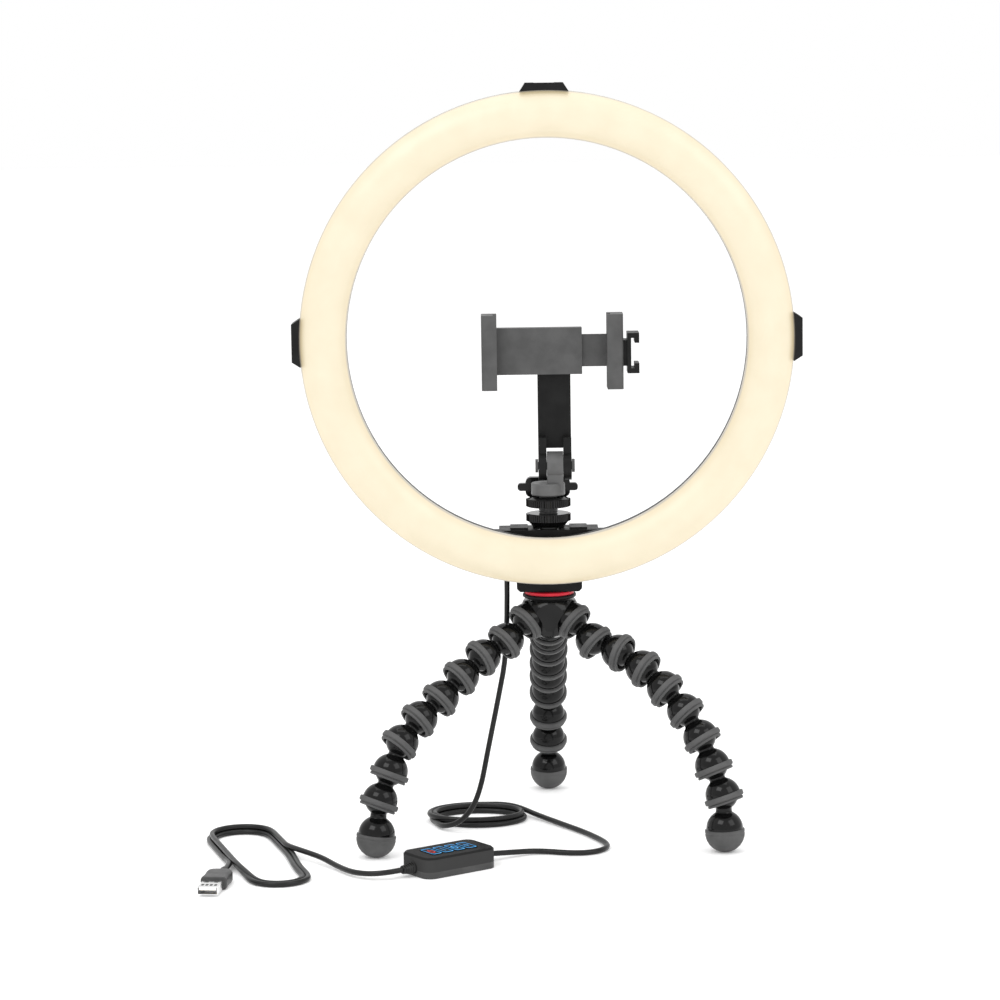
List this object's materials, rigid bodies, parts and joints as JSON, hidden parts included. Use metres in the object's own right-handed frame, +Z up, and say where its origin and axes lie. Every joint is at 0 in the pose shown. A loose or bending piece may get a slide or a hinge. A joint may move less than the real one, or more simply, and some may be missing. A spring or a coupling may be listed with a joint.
{
  "type": "ring light",
  "caption": "Desktop ring light on a flexible ball-jointed tripod, with a sprung phone clamp in the ring and a corded remote ending in a USB plug.",
  "frame": {"origin": "middle of the footprint of the ring light and its stand, on the surface it stands on; the cord is left out", "axes": "+Z up; the lit face looks along -Y; +X is to the right of someone facing the lit face"},
  "size_m": [0.3756, 0.2978, 0.4714],
  "materials": {
    "opal": "opal, lit warm",
    "shell_black": "fine matt texture",
    "gloss_black": "gloss",
    "column_grey": "satin",
    "board_white": "satin",
    "screw_steel": "blackened",
    "red_rubber": "satin",
    "cable_black": "satin",
    "remote_grey": "satin",
    "button_black": "gloss with printed symbols",
    "plug_metal": "bright"
  },
  "bodies": {
    "stand_and_ring": {"ring_diffuser": "opal", "ring_housing": "shell_black", "led_board": "board_white", "housing_screws": "screw_steel", "ring_shoes": "shell_black", "bridge": "shell_black", "cable_gland": "cable_black", "hub_body": "gloss_black", "mount_screw": "screw_steel", "shoe_foot": "gloss_black", "cable_drop": "cable_black", "cable_coil": "cable_black", "cable_run": "cable_black", "cable_lead": "cable_black", "cable_loop": "cable_black", "remote_base": "remote_grey", "remote_cover": "gloss_black", "plug_grip": "cable_black", "plug_shell": "plug_metal"},
    "lock_wheel": {"lock_wheel": "gloss_black", "wheel_pad": "red_rubber"},
    "lower_nut": {"lower_nut": "gloss_black"},
    "upper_nut": {"upper_nut": "gloss_black"},
    "clamp_column": {"clamp_column": "column_grey"},
    "wing_knob": {"wing_knob": "gloss_black"},
    "tilt_arm": {"tilt_arm": "gloss_black"},
    "clamp_body": {"clamp_body": "shell_black"},
    "sliding_jaw": {"sliding_jaw": "shell_black", "side_shoe": "shell_black"},
    "button_power": {"button_power": "button_black"},
    "button_minus": {"button_minus": "button_black"},
    "button_mode": {"button_mode": "button_black"},
    "button_plus": {"button_plus": "button_black"},
    "leg_left_link_1": {"leg_left_link_1": "gloss_black"},
    "leg_left_link_2": {"leg_left_link_2": "gloss_black"},
    "leg_left_link_3": {"leg_left_link_3": "gloss_black"},
    "leg_left_link_4": {"leg_left_link_4": "gloss_black"},
    "leg_left_link_5": {"leg_left_link_5": "gloss_black"},
    "leg_left_link_6": {"leg_left_link_6": "gloss_black"},
    "leg_left_link_7": {"leg_left_link_7": "gloss_black"},
    "leg_left_link_8": {"leg_left_link_8": "gloss_black"},
    "leg_left_foot": {"leg_left_foot": "gloss_black"},
    "leg_right_link_1": {"leg_right_link_1": "gloss_black"},
    "leg_right_link_2": {"leg_right_link_2": "gloss_black"},
    "leg_right_link_3": {"leg_right_link_3": "gloss_black"},
    "leg_right_link_4": {"leg_right_link_4": "gloss_black"},
    "leg_right_link_5": {"leg_right_link_5": "gloss_black"},
    "leg_right_link_6": {"leg_right_link_6": "gloss_black"},
    "leg_right_link_7": {"leg_right_link_7": "gloss_black"},
    "leg_right_link_8": {"leg_right_link_8": "gloss_black"},
    "leg_right_foot": {"leg_right_foot": "gloss_black"},
    "leg_rear_link_1": {"leg_rear_link_1": "gloss_black"},
    "leg_rear_link_2": {"leg_rear_link_2": "gloss_black"},
    "leg_rear_link_3": {"leg_rear_link_3": "gloss_black"},
    "leg_rear_link_4": {"leg_rear_link_4": "gloss_black"},
    "leg_rear_link_5": {"leg_rear_link_5": "gloss_black"},
    "leg_rear_link_6": {"leg_rear_link_6": "gloss_black"},
    "leg_rear_link_7": {"leg_rear_link_7": "gloss_black"},
    "leg_rear_link_8": {"leg_rear_link_8": "gloss_black"},
    "leg_rear_foot": {"leg_rear_foot": "gloss_black"}
  },
  "joints": [
    {"name": "lock_wheel_turn", "type": "hinge", "parent": "stand_and_ring", "child": "lock_wheel", "pos_m": [0, -0.03155, 0.1517], "axis": [0, 0, 1], "continuous": true},
    {"name": "lower_nut_turn", "type": "hinge", "parent": "stand_and_ring", "child": "lower_nut", "pos_m": [0, -0.03155, 0.2], "axis": [0, 0, 1], "continuous": true},
    {"name": "upper_nut_turn", "type": "hinge", "parent": "stand_and_ring", "child": "upper_nut", "pos_m": [0, -0.03155, 0.212], "axis": [0, 0, 1], "continuous": true},
    {"name": "clamp_pan", "type": "hinge", "parent": "stand_and_ring", "child": "clamp_column", "pos_m": [0, -0.03155, 0.218], "axis": [0, 0, 1], "continuous": true},
    {"name": "wing_knob_turn", "type": "hinge", "parent": "clamp_column", "child": "wing_knob", "pos_m": [0, -0.01655, 0.2179], "axis": [0, 1, 0], "continuous": true},
    {"name": "clamp_tilt", "type": "hinge", "parent": "clamp_column", "child": "tilt_arm", "pos_m": [0.0045, -0.03155, 0.2334], "axis": [1, 0, 0], "range_deg": [-45, 45]},
    {"name": "clamp_roll", "type": "hinge", "parent": "tilt_arm", "child": "clamp_body", "pos_m": [0.0045, -0.02655, 0.3055], "axis": [0, 1, 0], "range_deg": [-90, 45]},
    {"name": "jaw_slide", "type": "slide", "parent": "clamp_body", "child": "sliding_jaw", "axis": [1, 0, 0], "range_m": [-0.0145, 0.018]},
    {"name": "button_power_press", "type": "slide", "parent": "stand_and_ring", "child": "button_power", "axis": [0, 0, 1], "range_m": [-0.0003, 0], "stiffness_N_per_m": 3000},
    {"name": "button_minus_press", "type": "slide", "parent": "stand_and_ring", "child": "button_minus", "axis": [0, 0, 1], "range_m": [-0.0003, 0], "stiffness_N_per_m": 3000},
    {"name": "button_mode_press", "type": "slide", "parent": "stand_and_ring", "child": "button_mode", "axis": [0, 0, 1], "range_m": [-0.0003, 0], "stiffness_N_per_m": 3000},
    {"name": "button_plus_press", "type": "slide", "parent": "stand_and_ring", "child": "button_plus", "axis": [0, 0, 1], "range_m": [-0.0003, 0], "stiffness_N_per_m": 3000},
    {"name": "left_ball_1", "type": "hinge", "parent": "stand_and_ring", "child": "leg_left_link_1", "pos_m": [-0.01386, -0.03955, 0.137], "axis": [0.5, -0.866, 0], "range_deg": [-28.4, 27.6]},
    {"name": "left_ball_2", "type": "hinge", "parent": "leg_left_link_1", "child": "leg_left_link_2", "pos_m": [-0.02727, -0.04729, 0.12599], "axis": [-0.5, 0.866, 0], "range_deg": [-36, 20]},
    {"name": "left_ball_3", "type": "hinge", "parent": "leg_left_link_2", "child": "leg_left_link_3", "pos_m": [-0.04188, -0.05572, 0.11725], "axis": [0.5, -0.866, 0], "range_deg": [-35, 21]},
    {"name": "left_ball_4", "type": "hinge", "parent": "leg_left_link_3", "child": "leg_left_link_4", "pos_m": [-0.05545, -0.06356, 0.10651], "axis": [-0.5, 0.866, 0], "range_deg": [-23, 33]},
    {"name": "left_ball_5", "type": "hinge", "parent": "leg_left_link_4", "child": "leg_left_link_5", "pos_m": [-0.06817, -0.0709, 0.09445], "axis": [0.5, -0.866, 0], "range_deg": [-25, 31]},
    {"name": "left_ball_6", "type": "hinge", "parent": "leg_left_link_5", "child": "leg_left_link_6", "pos_m": [-0.08141, -0.07855, 0.08318], "axis": [-0.5, 0.866, 0], "range_deg": [-20, 36]},
    {"name": "left_ball_7", "type": "hinge", "parent": "leg_left_link_6", "child": "leg_left_link_7", "pos_m": [-0.09317, -0.08534, 0.06988], "axis": [0.5, -0.866, 0], "range_deg": [-49, 7]},
    {"name": "left_ball_8", "type": "hinge", "parent": "leg_left_link_7", "child": "leg_left_link_8", "pos_m": [-0.10002, -0.08929, 0.05261], "axis": [-0.5, 0.866, 0], "range_deg": [-27, 29]},
    {"name": "left_ball_9", "type": "hinge", "parent": "leg_left_link_8", "child": "leg_left_foot", "pos_m": [-0.1066, -0.09309, 0.03519], "axis": [0.5, -0.866, 0], "range_deg": [-44, 12]},
    {"name": "right_ball_1", "type": "hinge", "parent": "stand_and_ring", "child": "leg_right_link_1", "pos_m": [0.01386, -0.03955, 0.137], "axis": [0.5, 0.866, 0], "range_deg": [-32.17, 23.83]},
    {"name": "right_ball_2", "type": "hinge", "parent": "leg_right_link_1", "child": "leg_right_link_2", "pos_m": [0.02661, -0.04691, 0.125], "axis": [-0.5, -0.866, 0], "range_deg": [-35, 7]},
    {"name": "right_ball_3", "type": "hinge", "parent": "leg_right_link_2", "child": "leg_right_link_3", "pos_m": [0.04225, -0.05594, 0.11907], "axis": [0.5, 0.866, 0], "range_deg": [-37, 19]},
    {"name": "right_ball_4", "type": "hinge", "parent": "leg_right_link_3", "child": "leg_right_link_4", "pos_m": [0.05689, -0.06439, 0.1104], "axis": [-0.5, -0.866, 0], "range_deg": [-17, 39]},
    {"name": "right_ball_5", "type": "hinge", "parent": "leg_right_link_4", "child": "leg_right_link_5", "pos_m": [0.06982, -0.07186, 0.09866], "axis": [0.5, 0.866, 0], "range_deg": [-33, 23]},
    {"name": "right_ball_6", "type": "hinge", "parent": "leg_right_link_5", "child": "leg_right_link_6", "pos_m": [0.08182, -0.07879, 0.08566], "axis": [-0.5, -0.866, 0], "range_deg": [-17, 39]},
    {"name": "right_ball_7", "type": "hinge", "parent": "leg_right_link_6", "child": "leg_right_link_7", "pos_m": [0.09145, -0.08435, 0.07025], "axis": [0.5, 0.866, 0], "range_deg": [-39, 17]},
    {"name": "right_ball_8", "type": "hinge", "parent": "leg_right_link_7", "child": "leg_right_link_8", "pos_m": [0.09836, -0.08834, 0.05301], "axis": [-0.5, -0.866, 0], "range_deg": [-25, 31]},
    {"name": "right_ball_9", "type": "hinge", "parent": "leg_right_link_8", "child": "leg_right_foot", "pos_m": [0.10448, -0.09187, 0.03537], "axis": [0.5, 0.866, 0], "range_deg": [-47, 9]},
    {"name": "rear_ball_1", "type": "hinge", "parent": "stand_and_ring", "child": "leg_rear_link_1", "pos_m": [0, -0.01555, 0.137], "axis": [-1, 0, 0], "range_deg": [-28.4, 27.6]},
    {"name": "rear_ball_2", "type": "hinge", "parent": "leg_rear_link_1", "child": "leg_rear_link_2", "pos_m": [0, -0.00006, 0.12599], "axis": [1, 0, 0], "range_deg": [-36, 20]},
    {"name": "rear_ball_3", "type": "hinge", "parent": "leg_rear_link_2", "child": "leg_rear_link_3", "pos_m": [0, 0.01681, 0.11725], "axis": [-1, 0, 0], "range_deg": [-35, 21]},
    {"name": "rear_ball_4", "type": "hinge", "parent": "leg_rear_link_3", "child": "leg_rear_link_4", "pos_m": [0, 0.03248, 0.10651], "axis": [1, 0, 0], "range_deg": [-23, 33]},
    {"name": "rear_ball_5", "type": "hinge", "parent": "leg_rear_link_4", "child": "leg_rear_link_5", "pos_m": [0, 0.04717, 0.09445], "axis": [-1, 0, 0], "range_deg": [-25, 31]},
    {"name": "rear_ball_6", "type": "hinge", "parent": "leg_rear_link_5", "child": "leg_rear_link_6", "pos_m": [0, 0.06246, 0.08318], "axis": [1, 0, 0], "range_deg": [-20, 36]},
    {"name": "rear_ball_7", "type": "hinge", "parent": "leg_rear_link_6", "child": "leg_rear_link_7", "pos_m": [0, 0.07603, 0.06988], "axis": [-1, 0, 0], "range_deg": [-49, 7]},
    {"name": "rear_ball_8", "type": "hinge", "parent": "leg_rear_link_7", "child": "leg_rear_link_8", "pos_m": [0, 0.08394, 0.05261], "axis": [1, 0, 0], "range_deg": [-27, 29]},
    {"name": "rear_ball_9", "type": "hinge", "parent": "leg_rear_link_8", "child": "leg_rear_foot", "pos_m": [0, 0.09155, 0.03519], "axis": [-1, 0, 0], "range_deg": [-44, 12]}
  ]
}
